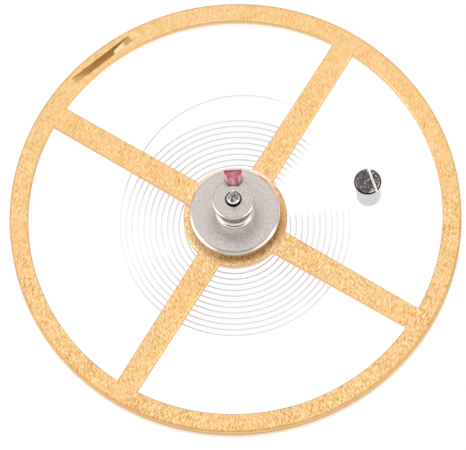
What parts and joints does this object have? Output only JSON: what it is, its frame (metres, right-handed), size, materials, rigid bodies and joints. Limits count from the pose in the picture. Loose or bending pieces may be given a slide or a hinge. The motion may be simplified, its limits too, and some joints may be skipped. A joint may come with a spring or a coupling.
{
  "type": "balance wheel",
  "caption": "Watch balance complete: smooth armed rim on its pivoted staff, double roller with impulse jewel, flat hairspring pinned to its collet and held by a stud.",
  "frame": {"origin": "tip of the lower pivot, on the staff axis; the lowest point of the part", "axes": "+Z along the staff, from the hairspring side to the roller side; +Y towards the impulse jewel at rest"},
  "size_m": [0.01, 0.01, 0.0034],
  "materials": {
    "gilt_wheel": "gilt, finely grained satin",
    "staff_steel": "polished",
    "roller_steel": "satin with polished edges",
    "ruby": "polished synthetic ruby",
    "shellac": "glossy set bead",
    "collet_brass": "turned",
    "pin_brass": "drawn",
    "spring_alloy": "rolled, bright",
    "stud_steel": "turned body, darkened head",
    "cement": "pale set adhesive"
  },
  "bodies": {
    "stud": {"hairspring_stud": "stud_steel", "stud_cement": "cement", "hairspring": "spring_alloy"},
    "balance": {"balance_wheel": "gilt_wheel", "balance_staff": "staff_steel", "impulse_roller": "roller_steel", "safety_roller": "roller_steel", "impulse_jewel": "ruby", "jewel_shellac": "shellac", "hairspring_collet": "collet_brass", "collet_pin": "pin_brass"}
  },
  "joints": [
    {"name": "balance_swing", "type": "hinge", "parent": "stud", "child": "balance", "pos_m": [0, 0, 0], "axis": [0, 0, 1], "range_deg": [-300, 300], "stiffness_Nm_per_rad": 0.00000031, "deforming": ["hairspring"]}
  ]
}
